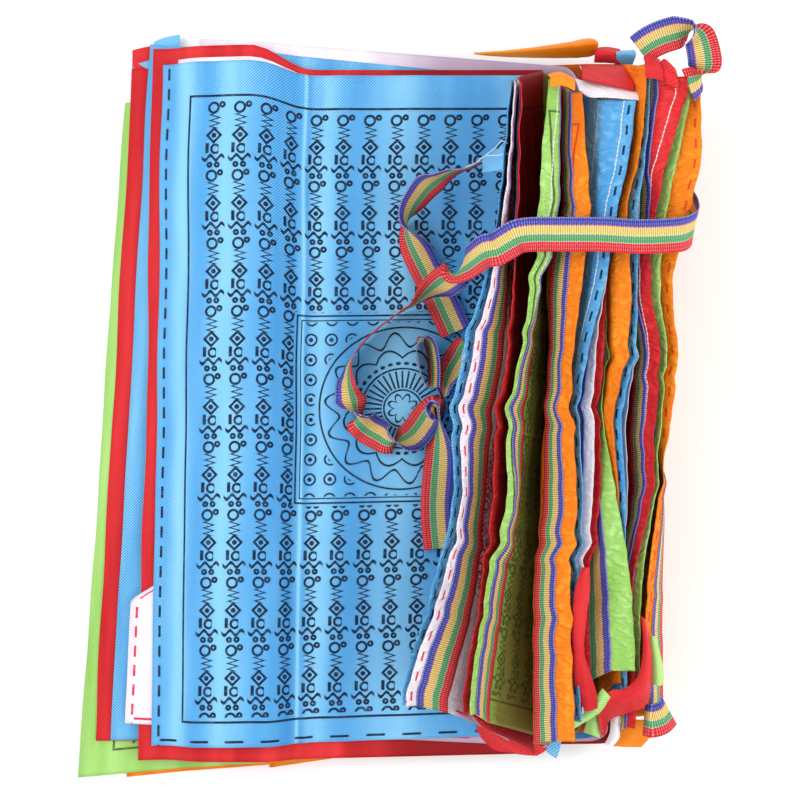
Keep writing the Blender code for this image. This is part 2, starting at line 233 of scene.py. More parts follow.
# Rows along each loose length of tape: X, Y and Z of the middle of its width, and the direction across it
SIDE = (0, 1, 0)
TIE_BAND = [
    (177, 119, 60, (0.2, 0.95, 0.1)),
    (178, 111, 74, (0.2, 0.95, 0.1)),
    (176, 103, 88, (0.2, 0.95, 0)),
    (169, 98, 101, (0.15, 1, 0)),
    (160, 96, 107, (0.1, 1, 0)),
    (140, 95, 110, SIDE),
    (117, 96, 112, SIDE),
    (94, 96, 113, SIDE),
    (79, 96, 113, SIDE),
    (70, 95, 112, (-0.15, 1, 0)),
    (64, 92, 111, (-0.45, 0.85, 0)),
    (57, 88, 109, (-0.5, 0.8, -0.15)),
    (50, 86.5, 106, (-0.5, 0.75, -0.35)),
    (43, 82, 97, (-0.4, 0.65, -0.6)),
    (37, 78, 82, (-0.1, 0.2, -1)),
    (32, 74, 66, (0, -0.7, -0.7)),
    (26, 71, 52, (0.1, -0.7, -0.7)),
    (18, 66, 43, (0.1, -0.4, -0.9)),
    (10, 60, 38, (0, -0.1, -1)),
    (1, 55, 34.5, (0, 0, -1)),
    (-9, 48, 33.5, (0, 0, -1)),
    (-18, 40, 33.5, (0, 0, -1)),
    (-26, 31, 33.5, (0, 0, -1)),
    (-31, 22, 33, (-0.2, 0, -1)),
    (-32, 12, 32, (-0.5, 0, -0.85)),
    (-31, 3, 28, (-0.9, 0, -0.4)),
    (-29, -5, 30.5, (-0.8, 0.3, 0.5)),
    (-25, -12, 32.5, (-0.1, 0.7, 0.7)),
    (-19, -18, 26.5, (0.4, 0.9, 0.15)),
    (-12, -22, 26, (0.4, 0.9, 0)),
    (-5, -26, 32, (0.3, 0.4, 0.85)),
    (3, -26, 31.5, (0.3, -0.6, 0.75)),
    (10, -22, 28, (0.5, -0.85, 0.2)),
    (16, -14, 28, (0.8, -0.6, 0.1)),
    (21, -6, 31, (0.6, -0.3, 0.7)),
    (24, -5, 33.5, (0.2, 0, 1)),
    (25, -12, 33.5, (0.1, 0, 1)),
    (26, -24, 31.5, (0.6, 0, 0.8)),
    (26, -36, 28, (0.9, 0, 0.4)),
    (25, -50, 26, (1, 0, 0.1)),
    (24, -65, 25.5, (1, 0, 0)),
    (24.5, -80, 25.5, (1, 0, 0)),
    (26, -94, 25.5, (1, 0.15, 0)),
]
TIE_TAIL = [
    (50, 143, 82, (-0.05, -0.12, 0.99)),
    (42, 140, 76, (-0.05, -0.08, 0.99)),
    (34, 139, 69, (-0.1, 0.0, 0.99)),
    (27, 137, 61, (-0.15, 0.15, 0.97)),
    (19, 133, 53, (-0.45, 0.5, 0.75)),
    (13, 127, 46, (-0.6, 0.35, 0.7)),
    (8, 120, 40, (-0.6, 0.2, 0.8)),
    (5.5, 113, 36, (-0.3, 0.1, 0.95)),
    (6, 106, 33, (0.3, 0.1, 0.95)),
    (9, 99, 29.7, (0.75, 0.25, 0.6)),
    (13, 91, 27, (0.87, 0.4, 0.15)),
    (20, 77, 26.5, (0.9, 0.42, 0)),
    (27, 63, 26.5, (0.9, 0.42, 0)),
    (32, 52, 26.5, (0.92, 0.38, 0)),
    (36, 43, 27, (0.92, 0.4, 0)),
]
TIE_FOLD = [
    (42, 36, 33, (0.4, -0.3, 0.85)),
    (40, 29, 30.5, (0.75, -0.55, 0.35)),
    (36, 22, 30, (0.78, -0.5, 0.35)),
    (32.5, 15, 31, (0.75, -0.3, 0.6)),
    (30, 8, 33, (0.35, 0, 0.95)),
    (29.5, 2, 33.5, (0.1, 0, 1)),
]
TIE_LOOP = [
    (22, 8, 33.5, (0.35, 0, 0.93)),
    (22.5, 17, 33.5, (0.35, 0, 0.93)),
    (22, 26, 33.5, (0.35, 0, 0.93)),
    (20.5, 33.5, 33.5, (0.35, 0, 0.93)),
    (18, 38, 33.5, (0.35, 0, 0.93)),
    (14.5, 38.5, 33.5, (0.35, 0, 0.93)),
    (12, 34.5, 33.5, (0, 0, 1)),
    (11.5, 27, 33.5, (0, 0, 1)),
    (13.5, 18, 33.5, (0, 0, 1)),
    (16.5, 9.5, 33.5, (0, 0, 1)),
]
TOP_TURN = [
    (144, 209, 83, (-0.55, 0.75, 0.3)),
    (150, 213, 86, (-0.45, 0.85, 0.2)),
    (157, 216, 88, (-0.35, 0.9, 0.2)),
    (164, 218, 89, (-0.3, 0.9, 0.3)),
    (170, 219.5, 90, (-0.35, 0.5, 0.8)),
    (175, 219.5, 90, (-0.7, 0.1, 0.7)),
    (179, 215, 89, (-0.95, 0.1, 0.15)),
    (181, 208, 89, (-1, 0.05, 0)),
    (182, 201, 89, (-0.95, -0.1, -0.2)),
    (181.5, 195, 88, (-0.5, -0.3, -0.8)),
    (178, 190, 88, (0.3, -0.6, -0.7)),
    (172, 187, 89, (0.3, -0.95, -0.1)),
]
LOW_TURN = [
    (163, -187, 75, (-0.6, 0.7, 0.35)),
    (159, -190, 80, (-0.3, 0.95, 0.1)),
    (153, -192, 81, SIDE),
    (150, -192, 80.5, SIDE),
    (148, -192, 75, (0.1, 1, 0)),
]

LOOSE_TAPES = {
    "tie_band": TIE_BAND,
    "tie_tail": TIE_TAIL,
    "tie_fold": TIE_FOLD,
    "tie_loop": TIE_LOOP,
    "top_turn": TOP_TURN,
    "low_turn": LOW_TURN,
}

# Creases and troughs in the top flag, all along Y: X of the middle, half width, and height
Crease = namedtuple("Crease", "x half height")
TOP_CREASES = [Crease(*row) for row in (
    (-141, 9, 0.5),
    (-122, 7, -0.5),
    (-106, 8, 0.5),
    (-92, 7, -0.4),
    (-72, 9, 0.5),
    (-60, 2.2, 1.5),
    (-50, 7, -0.5),
    (-35, 8, 0.5),
    (-14, 9, -0.4),
    (8, 9, 0.5),
)]

# Kinks that neighbouring headings share: Y of the middle, half length, shift in X, and the flags from and to
Kink = namedtuple("Kink", "y half shift first last")
KINKS = [Kink(*row) for row in (
    (84, 8, 2.0, 4, 4),
    (72, 7, -2.2, 4, 4),
    (40, 7, -1.8, 1, 4),
    (26, 7, 2.4, 9, 12),
    (14, 6, -1.6, 13, 15),
    (-4, 8, -2.4, 1, 8),
    (-16, 6, 1.6, 1, 5),
    (-50, 9, 1.8, 13, 15),
    (-84, 7, 2.2, 2, 8),
    (-94, 6, -1.8, 3, 7),
    (-128, 8, 1.6, 1, 5),
)]

# Flags that are printed with dashes, along both long edges or along the heading alone
DASHED = {1: "edges", 2: "edges", 6: "heading", 11: "heading", 15: "heading"}

# Flags whose strip shows its white stitching
SEAMED = (1, 2, 4, 6, 13)

# Painted sheen and shade in the top flag's satin, as bands: distance from its free edge, half width, and how
# much lighter they are
Band = namedtuple("Band", "u half tone")
TOP_SHEEN_BANDS = [Band(*row) for row in (
    (5, 6, -0.22),
    (17, 6, 0.60),
    (31, 7, -0.36),
    (47, 8, 0.46),
    (66, 6, -0.15),
    (80, 10, -0.42),
    (92, 5, -0.45),
    (98.5, 1.1, 0.85),
    (101.5, 1.6, -0.35),
    (111, 6, 0.42),
    (132, 11, -0.34),
    (160, 12, 0.42),
    (198, 16, -0.36),
    (226, 8, 0.15),
)]

# Small ends of cloth that stick out at the corners: the colour, and rows of points along each
CORNERS = [
    ("yellow", [
        [(47, 215, 43.5), (47, 215.4, 44), (47, 215.8, 43.5)],
        [(66, 213.6, 42), (66, 215.6, 47), (66, 217, 43)],
        [(88, 213, 42), (88, 216.6, 51), (88, 219.4, 44)],
        [(106, 213, 42), (106, 218, 54), (106, 222, 45)],
        [(117, 213.4, 43), (118, 219, 55), (117, 224, 46)],
        [(122, 214.6, 44), (123, 219, 53), (122, 223, 47)],
    ]),
    ("red", [
        [(112, 204.4, 60), (110.6, 198, 74), (109.6, 191, 86)],
        [(121, 204.8, 60), (119, 198, 76), (118, 188.6, 88)],
        [(132, 204.2, 60), (130, 197, 75), (128.6, 186.4, 87)],
        [(144, 204, 60), (142.4, 195, 73), (140.6, 184, 85)],
    ]),
    ("white", [
        [(106, 192.5, 79), (106.5, 189, 84), (107.5, 184, 87)],
        [(112.5, 191, 80), (112.5, 186, 86), (113, 179.5, 91)],
        [(121, 189, 82), (121, 185, 87), (121.5, 179, 93)],
        [(131, 187, 83), (131, 183, 87), (131.5, 178.6, 92)],
        [(143.6, 183.5, 82), (143.4, 181, 86), (143, 178, 89)],
    ]),
    ("yellow", [
        [(88, 192, 95), (89, 188.6, 101.6), (89, 183, 101)],
        [(95, 193.6, 95), (95.6, 189.6, 102), (96, 184.4, 101.4)],
        [(103.5, 190.4, 93), (103.8, 187, 100), (103.6, 181.6, 99)],
    ]),
    ("red", [
        [(-172, 226, 1.8), (-172, 220, 1.8), (-172, 212, 1.8)],
        [(-164, 228, 1.8), (-164, 221, 1.8), (-164, 212, 1.8)],
        [(-155, 230, 1.8), (-155, 222, 1.8), (-155, 212, 1.8)],
    ]),
    ("blue", [
        [(-172.4, 216.5, 2.6), (-172, 212, 2.6), (-172, 206, 2.6)],
        [(-164, 218.5, 2.6), (-164, 213, 2.6), (-164, 206, 2.6)],
        [(-155, 221, 2.6), (-155, 214, 2.6), (-155, 206, 2.6)],
    ]),
    ("blue", [
        [(-157.5, 231, 4.8), (-157.5, 226, 4.8), (-157.5, 219, 4.8)],
        [(-149, 234, 5), (-149, 227, 4.8), (-149, 219, 4.8)],
        [(-141, 235.6, 5), (-141, 228, 4.8), (-141, 219, 4.8)],
    ]),
    ("red", [
        [(54, -196, 40), (50, -204, 30), (50, -212, 20)],
        [(66, -204, 34), (62, -213, 27), (60, -222, 19)],
        [(80, -213, 27), (77, -219, 23), (74, -225, 18.6)],
        [(94.5, -222, 19), (92, -224.4, 18), (88, -226.6, 18)],
    ]),
    ("blue", [
        [(91, -211, 22), (92, -217, 20), (94.5, -224, 17)],
        [(97, -213.5, 22), (97.5, -220, 20), (98, -227, 16)],
        [(103.5, -216, 21), (102.5, -222, 19), (101, -228.6, 15)],
    ]),
    ("green", [
        [(147, -141, 86), (151, -140, 90), (153.6, -142, 85)],
        [(149, -158, 85), (154, -158, 89), (158, -160, 83)],
        [(150.6, -168, 83), (154.5, -170, 87), (158.5, -170, 81)],
    ]),
    ("red", [
        [(121, 218, 46), (121, 213.6, 52), (121, 209, 47)],
        [(129, 218.4, 48), (129.5, 213, 54), (129, 208.6, 48)],
        [(137, 217, 47), (138, 212, 52), (138, 208, 47)],
    ]),
    ("blue", [
        [(134, 216, 47), (134, 212.6, 54), (134, 208, 46)],
        [(140, 216, 48), (140, 212.6, 55), (140, 208, 47)],
        [(146, 216.4, 48), (146, 212, 55), (145, 208, 47)],
    ]),
    ("red", [
        [(145.6, 203.7, 88), (145.6, 197, 95), (145.6, 189.5, 97)],
        [(150, 204.5, 88), (150, 197, 95), (150.4, 189.5, 97)],
        [(156, 203, 84), (156.4, 196, 91), (157, 188.5, 92)],
    ]),
    ("red", [
        [(154, 196, 86), (154.5, 192, 89), (155, 186, 88)],
        [(158, 203, 86), (158.6, 196, 91), (159, 187, 91)],
        [(165, 197, 86), (165.6, 191, 91), (166, 184, 91)],
    ]),
    ("red", [
        [(108, -98, 101), (110, -98, 104), (112, -98, 102)],
        [(103.5, -112, 101), (108, -112, 105), (112, -112, 102)],
        [(102, -130, 100), (106.5, -130, 104), (110, -131, 101)],
        [(102.5, -146, 98), (106, -146, 102), (109, -147, 99)],
        [(103, -160, 96), (108, -161, 100), (113, -161, 97)],
        [(105, -172, 93), (111, -174, 96), (117, -173, 93)],
        [(107, -182, 90), (112, -184, 92), (118, -183, 89)],
    ]),
    ("blue", [
        [(50, 144.6, 84), (50.4, 140, 82), (50, 136, 83)],
        [(56, 147.6, 88), (56.6, 142, 85), (57, 136, 87)],
        [(62.6, 151, 93), (63, 144, 91), (63, 136.4, 92)],
    ]),
    ("red", [
        [(143.6, -128, 92), (145, -129, 94), (146.6, -131, 91)],
        [(145, -146, 92), (147.4, -147, 95), (150, -149, 89)],
        [(142, -163, 92), (146, -165, 95.6), (150.6, -167, 87)],
        [(134, -171, 91), (140, -175, 95), (147.6, -182, 84)],
        [(127, -172, 90), (131, -179, 92), (136, -187, 84)],
        [(119.6, -177.4, 88), (123, -184, 86), (127.6, -191, 80)],
        [(119.8, -190, 82), (122.6, -193, 78), (126, -197, 74)],
        [(121.6, -201, 74), (123, -202, 73), (124.6, -203, 72)],
    ]),
    ("green", [
        [(121, -171, 90), (124, -174, 91.4), (127, -177.6, 89)],
        [(114, -181, 86), (116.4, -185, 88), (119.4, -187, 84)],
        [(107, -186.6, 82), (108, -191, 84), (108.6, -195, 79)],
        [(100.6, -190, 80), (101.6, -195, 81), (101, -201, 75)],
    ]),
    ("green", [
        [(114, -187, 76), (117.6, -186, 79), (121, -185.6, 76)],
        [(113.4, -194, 74), (117.6, -194, 77.4), (122, -195, 74)],
        [(112, -201, 70), (117, -202, 74), (121.6, -204.4, 70)],
    ]),
    ("white", [
        [(128, -189, 72), (132, -189.6, 75), (136, -192, 70)],
        [(128.4, -197, 70), (131.6, -197.6, 74), (134.6, -199, 68)],
        [(128, -204, 66), (131, -205, 69), (134, -206.6, 64)],
        [(126, -210, 60), (128.4, -211, 62), (130.6, -212, 58)],
    ]),
    ("yellow", [
        [(136, -196, 61), (146, -195, 63), (157, -196, 60)],
        [(134, -204, 59), (144, -204, 60), (155.6, -204, 58)],
        [(128, -211.6, 57), (137, -212.4, 57.4), (149, -212.6, 57)],
    ]),
]

# Loose white threads of the stitching: their radius, and the route of each
THREAD_RADIUS = 0.22
THREADS = [
    [(47.4, 142.6, 84), (52, 145.4, 87), (58, 145, 91), (64.6, 145.4, 95)],
    [(52, 146, 87), (57, 149, 92), (61, 152.6, 96), (64, 151, 99)],
    [(40, 139.6, 79), (46, 141.6, 83), (50, 144.8, 85.4)],
    [(111, 204.4, 59.4), (111.6, 200, 68), (112.6, 193, 82)],
    [(120, 204.8, 60), (120.6, 198, 73), (121.6, 190, 84)],
]

# Each cloth's colour at the dark and at the light end of its painted satin sheen and shade, which its mottle
# and twill lines also move between
CLOTH_SHADE_AND_SHEEN_TONES = {
    "blue": ((0.040, 0.27, 0.62), (0.27, 0.62, 0.88)),
    "white": ((0.76, 0.66, 0.76), (0.97, 0.94, 0.96)),
    "red": ((0.45, 0.007, 0.012), (0.80, 0.040, 0.045)),
    "green": ((0.24, 0.50, 0.08), (0.50, 0.80, 0.28)),
    "yellow": ((0.78, 0.15, 0.002), (0.94, 0.33, 0.02)),
}

# How much of that range the twill lines take
TWILL_SHADE = {"blue": 0.5, "white": 0.4, "red": 0.24, "green": 0.34, "yellow": 0.28}

# Painted shade: the deep colour that the cloth of the walls between the headings is darkened towards, where
# shade falls between the flags
WALL_SHADE_COLOURS = {
    "blue": (0.02, 0.13, 0.36),
    "white": (0.40, 0.26, 0.40),
    "red": (0.22, 0.002, 0.004),
    "green": (0.20, 0.15, 0.022),
    "yellow": (0.42, 0.06, 0.002),
}

# The ink's colour on each cloth
INK_COLOURS = {
    "blue": (0.004, 0.012, 0.04),
    "white": (0.70, 0.02, 0.06),
    "red": (0.10, 0.004, 0.008),
    "green": (0.08, 0.12, 0.03),
    "yellow": (0.62, 0.06, 0.008),
}


def between(low, high, share):
    return low + (high - low) * share


def along_row(stations, values, y):
    """The row's value at y: a smooth curve through the values at the stations, which fall in y."""
    last = len(stations) - 1
    index = 0
    while index < last - 1 and y < stations[index + 1]:
        index += 1
    span = stations[index] - stations[index + 1]
    share = min(max((stations[index] - y) / span, 0), 1)
    slopes = []
    for knot in (index, index + 1):
        before, after = max(knot - 1, 0), min(knot + 1, last)
        slopes.append((values[after] - values[before]) / (stations[before] - stations[after]) * span)
    start, end = values[index], values[index + 1]
    square, cube = share**2, share**3
    return (
        (2 * cube - 3 * square + 1) * start
        + (cube - 2 * square + share) * slopes[0]
        + (3 * square - 2 * cube) * end
        + (cube - square) * slopes[1]
    )


def bezier(points, share):
    rest = 1 - share
    weights = (rest**3, 3 * rest**2 * share, 3 * rest * share**2, share**3)
    return sum((point * weight for point, weight in zip(points, weights)), Vector((0, 0)))


def heading_line(number, share):
    """(heading, ridge, lean) of a flag at this share of its length.

    They are the cloth's edge, the top of its tape strip and the unit vector up the strip.
    """
    outline = OUTLINES[number]
    y = between(outline.head_top, outline.head_low, share)
    x = along_row(STATIONS, HEADING_X[number], y)
    z = along_row(HEIGHT_STATIONS, HEADING_Z[number], y)
    flap = along_row(STATIONS, FLAP[number], y)
    rise = max(FLAP_RISE - FLAP_FALL * abs(flap), FLAP_LEAST)
    lean = math.radians(along_row(STATIONS, LEAN[number], y))
    heading = Vector((x, y, z))
    ridge = Vector((x - flap, y, z - rise))
    return heading, ridge, Vector((math.sin(lean), 0, math.cos(lean)))


def soft_step(place, limits):
    """0 at the first limit and 1 at the second, with a smooth rise between them and none beyond."""
    share = min(max((place - limits[0]) / (limits[1] - limits[0]), 0), 1)
    return share * share * (3 - 2 * share)


def loft(number, x):
    """How far a flag's flat part stands off the flags below it."""
    level = min(soft_step(x, LOFT_FREE_X), soft_step(x, LOFT_FALL_X))
    return LOFT * max(1 - number / LOFT_FLAGS, 0) * level


def flat_height(number, x):
    """Z of the middle of the cloth in the stack, which steps down where the lowest flags end."""
    level = (len(OUTLINES) - 1 - number) * PITCH
    ramp = min(max((RAMP_TOP_X - x) / (RAMP_TOP_X - RAMP_FOOT_X), 0), 1)
    return CLOTH / 2 + level - ramp * RAMP_LAYERS * PITCH + loft(number, x)


def flat_y(number, x, part, share):
    """Y of the flat cloth at x, which is this part of the way from the free edge to the foot."""
    outline = OUTLINES[number]
    top_part = soft_step(x, TOP_STEP_X) if number < STEPPED_FLAGS else part
    top = between(outline.top_free, outline.top_foot, top_part)
    low = between(outline.low_free, outline.low_foot, part)
    return between(top, low, share)


def free_edge(number, share):
    """X of a flag's free edge at this share of its length, before it wanders."""
    outline = OUTLINES[number]
    x = between(outline.free_top, outline.free_low, share)
    if number == 1:
        y = between(outline.top_free, outline.low_free, share)
        x += SECOND_STEP * soft_step(y, SECOND_STEP_Y)
    return x


def wander(seed, place, reach):
    """A smooth value from about -1 to 1 that turns over the reach, and is the same for the same seed."""
    return 1.8 * noise.noise(Vector((place / reach, seed * 3.71, 0.37)))


def ridged(seed, place, reach):
    """A value from about -1 to 1 with sharp peaks, like cloth that has been crushed."""
    return 1 - 2.6 * abs(noise.noise(Vector((place / reach, seed * 5.13, 4.2))))


def kink_shift(number, y):
    """How far the kinks push a flag's heading in X at this y."""
    shift = 0
    for kink in KINKS:
        if kink.first <= number + 1 <= kink.last:
            shift += kink.shift * max(1 - abs(y - kink.y) / kink.half, 0)
    return shift


def flag_row(number, share, flat_columns):
    """Points of a flag's cloth from its free edge to its heading, at this share of its length."""
    outline = OUTLINES[number]
    free_x = free_edge(number, share)
    free_x += EDGE_WANDER * wander(number + EDGE_SEED, share * FLAG_LENGTH, EDGE_REACH)
    foot_x = between(outline.foot_top, outline.foot_low, share)
    foot_y = between(outline.top_foot, outline.low_foot, share)
    heading, ridge, lean = heading_line(number, share)
    crush = kink_shift(number, heading.y)
    crush += CRUSH * ridged(0, heading.y + CRUSH_SLIP * number, SHARED_CRUSH_REACH)
    crush += CRUSH * ridged(number + 1, heading.y, OWN_CRUSH_REACH)
    lift = HEADING_LIFT * wander(number + LIFT_SEED, heading.y, LIFT_REACH)
    for point in (heading, ridge):
        point.x += crush
        point.z += lift

    points = []
    for step in range(flat_columns):
        part = step / flat_columns
        x = between(free_x, foot_x, part)
        y = flat_y(number, x, part, share)
        points.append(Vector((x, y, flat_height(number, x))))

    neck = ridge - lean * TAPE_WIDTH
    neck.x -= NECK_CRUSH * crush
    foot_z = flat_height(number, foot_x)
    bulge = BULGE_FIRST + BULGE_STEP * number
    reach = (neck.z - foot_z) * NECK_SHARE * lean.z
    cage = [
        Vector((foot_x, foot_z)),
        Vector((foot_x + bulge, foot_z)),
        Vector((neck.x - lean.x * reach, neck.z - lean.z * reach)),
        Vector((neck.x, neck.z)),
    ]
    for step in range(WALL_COLUMNS):
        at = bezier(cage, step / WALL_COLUMNS)
        rise = (at.y - foot_z) / (heading.z - foot_z)
        place = heading.y + SWAY_SLANT * at.y
        sway = WALL_SWAY * wander(SWAY_SEED, place, SWAY_REACH)
        sway += OWN_SWAY * wander(number + SWAY_SEED + 1, place, SWAY_REACH)
        sway *= math.sin(math.pi * step / WALL_COLUMNS)
        points.append(Vector((at.x + sway, between(foot_y, heading.y, rise), at.y)))
    neck.y = between(foot_y, heading.y, (neck.z - foot_z) / (heading.z - foot_z))
    for step in range(TAPE_COLUMNS + 1):
        points.append(neck.lerp(ridge, step / TAPE_COLUMNS))
    for step in range(1, EDGE_COLUMNS + 1):
        points.append(ridge.lerp(heading, step / EDGE_COLUMNS))
    return points


def top_relief(point):
    """How far the creases lift a point of the top flag's flat part. The broad ones wander sideways."""
    lift = 0
    drift = CREASE_DRIFT * wander(DRIFT_SEED, point.y, DRIFT_REACH)
    for crease in TOP_CREASES:
        off = (point.x - crease.x - drift * (crease.half > BROAD)) / crease.half
        lift += crease.height * math.exp(-off * off)
    return lift


def flag_points(number):
    """The flag's points as an array of rows along its length and columns across it."""
    flat_columns = TOP_FLAT_COLUMNS if number == 0 else FLAT_COLUMNS
    rows = []
    for step in range(ROWS + 1):
        row = flag_row(number, step / ROWS, flat_columns)
        if number == 0:
            for point in row[:flat_columns]:
                point.z += top_relief(point)
        rows.append(row)
    return np.array([[tuple(point) for point in row] for row in rows])


def cloth_widths(points):
    """How far each point is from the first column, measured along the cloth."""
    steps = np.linalg.norm(np.diff(points, axis=1), axis=2)
    start = np.zeros((len(points), 1))
    return np.hstack([start, np.cumsum(steps, axis=1)])


def add_object(name, data):
    """Puts a new object into the scene."""
    added = bpy.data.objects.new(name, data)
    bpy.context.scene.collection.objects.link(added)
    return added


def add_map(mesh, name, across, along):
    """Adds a UV map that holds two measures at each point of the mesh."""
    layer = mesh.uv_layers.new(name=name)
    values = np.stack([across.ravel(), along.ravel()], axis=1)
    loops = np.zeros(len(mesh.loops), dtype=np.int32)
    mesh.loops.foreach_get("vertex_index", loops)
    layer.data.foreach_set("uv", values[loops].ravel().astype(np.float32))


def grid_piece(name, points, maps, material, thickness, nodes):
    """A thin closed sheet through a grid of points in millimetres, with its UV maps."""
    rows, columns = points.shape[:2]
    corners = np.arange(rows * columns).reshape(rows, columns)
    faces = np.stack(
        [corners[:-1, :-1], corners[:-1, 1:], corners[1:, 1:], corners[1:, :-1]], axis=2
    ).reshape(-1, 4)
    mesh = bpy.data.meshes.new(name)
    mesh.from_pydata((points.reshape(-1, 3) * MM).tolist(), [], faces.tolist())
    for map_name, (across, along) in maps.items():
        add_map(mesh, map_name, across, along)
    mesh.polygons.foreach_set("use_smooth", np.ones(len(mesh.polygons), dtype=bool))
    mesh.materials.append(material)
    piece = add_object(name, mesh)
    shell = piece.modifiers.new("thickness", "SOLIDIFY")
    shell.thickness = thickness * MM
    shell.offset = 0
    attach(piece, "root")
    if nodes:
        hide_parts(*nodes)
    return piece


def grid_normals(points):
    """The unit vector square to the grid at each of its points."""
    down = np.gradient(points, axis=0)
    across = np.gradient(points, axis=1)
    square = np.cross(across, down)
    return square / np.linalg.norm(square, axis=2, keepdims=True)


def make_flag(number):
    outline = OUTLINES[number]
    points = flag_points(number)
    widths = cloth_widths(points)
    along = np.broadcast_to(np.linspace(0, FLAG_LENGTH, ROWS + 1)[:, None], widths.shape)
    maps = {
        "from_free_edge": (widths * MM, along * MM),
        "from_heading": ((widths[:, -1:] - widths) * MM, along * MM),
    }
    name = f"cloth_{number + 1:02d}_{outline.colour}"
    node = f"flag_{number + 1:02d}_{outline.colour}"
    if number == 0:
        cloth = top_cloth
    else:
        dashed = DASHED.get(number + 1, "none")
        # The outermost flag has no flag beside it, so its walls get no painted shade
        outer = number == len(OUTLINES) - 1
        cloth = cloth_material(outline.colour, dashed, number + 1 in SEAMED, not outer)
    piece = grid_piece(name, points, maps, cloth, SHEET, [node])
    if outline.tape:
        make_sewn_tape(number, points)


def make_tape(name, points, along, node):
    """A tape through rows of points that lie this far along it, with its red edge in the first column."""
    maps = {"tape": np.meshgrid(np.linspace(1, 0, points.shape[1]), along * MM)}
    piece = grid_piece(name, points, maps, tape_material, TAPE_THICK, [node])


def make_sewn_tape(number, points):
    """The tape on a flag's top strip, which follows the flag's own columns there."""
    side = {"left": -1, "right": 1}[OUTLINES[number].tape]
    strip = slice(-(TAPE_COLUMNS + 1 + EDGE_COLUMNS), -EDGE_COLUMNS)
    tape = (points + grid_normals(points) * TAPE_GAP * side)[:, strip]
    length = np.linalg.norm(np.diff(tape[:, TAPE_COLUMNS // 2], axis=0), axis=1).sum()
    along = np.linspace(0, length, ROWS + 1)
    make_tape(f"sewn_tape_{number + 1:02d}", tape, along, f"heading_tape_{number + 1:02d}")


def through(values, place):
    """A smooth curve through evenly numbered values, read at a place between the first and the last."""
    last = len(values) - 1
    index = min(int(place), last - 1)
    share = place - index
    before = values[max(index - 1, 0)]
    start, end = values[index], values[index + 1]
    after = values[min(index + 2, last)]
    return 0.5 * (
        2 * start
        + (end - before) * share
        + (2 * before - 5 * start + 4 * end - after) * share**2
        + (3 * start - before - 3 * end + after) * share**3
    )


def make_loose_tape(name, stations):
    """A loose length of tape, smooth through the middles and across directions of its rows."""
    middles = [Vector((x, y, z)) for x, y, z, across in stations]
    turns = [Vector(across).normalized() for x, y, z, across in stations]
    steps = LOOSE_STEPS * (len(stations) - 1)
    centres = [through(middles, step / LOOSE_STEPS) for step in range(steps + 1)]
    rows = []
    for step, centre in enumerate(centres):
        run = centres[min(step + 1, steps)] - centres[max(step - 1, 0)]
        run.normalize()
        across = through(turns, step / LOOSE_STEPS)
        across -= run * across.dot(run)
        across.normalize()
        offs = [(column / LOOSE_COLUMNS - 0.5) * TAPE_WIDTH for column in range(LOOSE_COLUMNS + 1)]
        rows.append([tuple(centre + across * off) for off in offs])
    points = np.array(rows)
    length = np.linalg.norm(np.diff(points[:, LOOSE_COLUMNS // 2], axis=0), axis=1)
    make_tape(f"loose_{name}", points, np.concatenate([[0], np.cumsum(length)]), name)


def make_corner(number, colour, rows):
    """A small end of a flag's cloth, smooth through its rows of points and slightly crumpled."""
    lines = [[Vector(point) for point in row] for row in rows]
    edges = list(zip(*lines))
    across_steps = END_STEPS * (len(edges) - 1)
    along_steps = END_STEPS * (len(lines) - 1)
    grid = []
    for step in range(along_steps + 1):
        row = [through(edge, step / END_STEPS) for edge in edges]
        points = [through(row, column / END_STEPS) for column in range(across_steps + 1)]
        for point in points:
            point.z += END_CRUMPLE * ridged(number + CRUMPLE_SEED, point.x + 1.7 * point.y, CRUMPLE_REACH)
        grid.append([tuple(point) for point in points])
    points = np.array(grid)
    across = cloth_widths(points)
    along = cloth_widths(points.swapaxes(0, 1)).T
    maps = {
        "from_free_edge": ((across + BOX_MIDDLE[0]) * MM, (along - BARE_START) * MM),
        "from_heading": ((across + BARE_START) * MM, along * MM),
    }
    cloth = cloth_material(colour, "none", False, False)
    piece = grid_piece(f"corner_{number:02d}_{colour}", points, maps, cloth, SHEET, [])


def make_threads():
    """All the loose threads as one mesh of thin tubes."""
    sides = THREAD_SIDES
    mesh_points, faces, places = [], [], []
    for route in THREADS:
        knots = [Vector(point) for point in route]
        steps = THREAD_STEPS * (len(knots) - 1)
        centres = [through(knots, step / THREAD_STEPS) for step in range(steps + 1)]
        first = len(mesh_points)
        for step, centre in enumerate(centres):
            run = (centres[min(step + 1, steps)] - centres[max(step - 1, 0)]).normalized()
            side = run.cross(Vector((0, 0, 1))).normalized()
            up = side.cross(run)
            for turn in range(sides):
                angle = 2 * math.pi * turn / sides
                spoke = side * math.cos(angle) + up * math.sin(angle)
                mesh_points.append(tuple((centre + spoke * THREAD_RADIUS) * MM))
                places.append((turn / sides * MM, step * MM))
        for step in range(steps):
            for turn in range(sides):
                here, there = first + step * sides, first + (step + 1) * sides
                after = (turn + 1) % sides
                faces.append((here + turn, here + after, there + after, there + turn))
        faces.append(tuple(reversed(range(first, first + sides))))
        faces.append(tuple(range(len(mesh_points) - sides, len(mesh_points))))
    mesh = bpy.data.meshes.new("loose_threads")
    mesh.from_pydata(mesh_points, [], faces)
    add_map(mesh, "thread", *np.array(places).T)
    mesh.materials.append(make_thread_material())
    piece = add_object("loose_threads", mesh)
    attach(piece, "root")


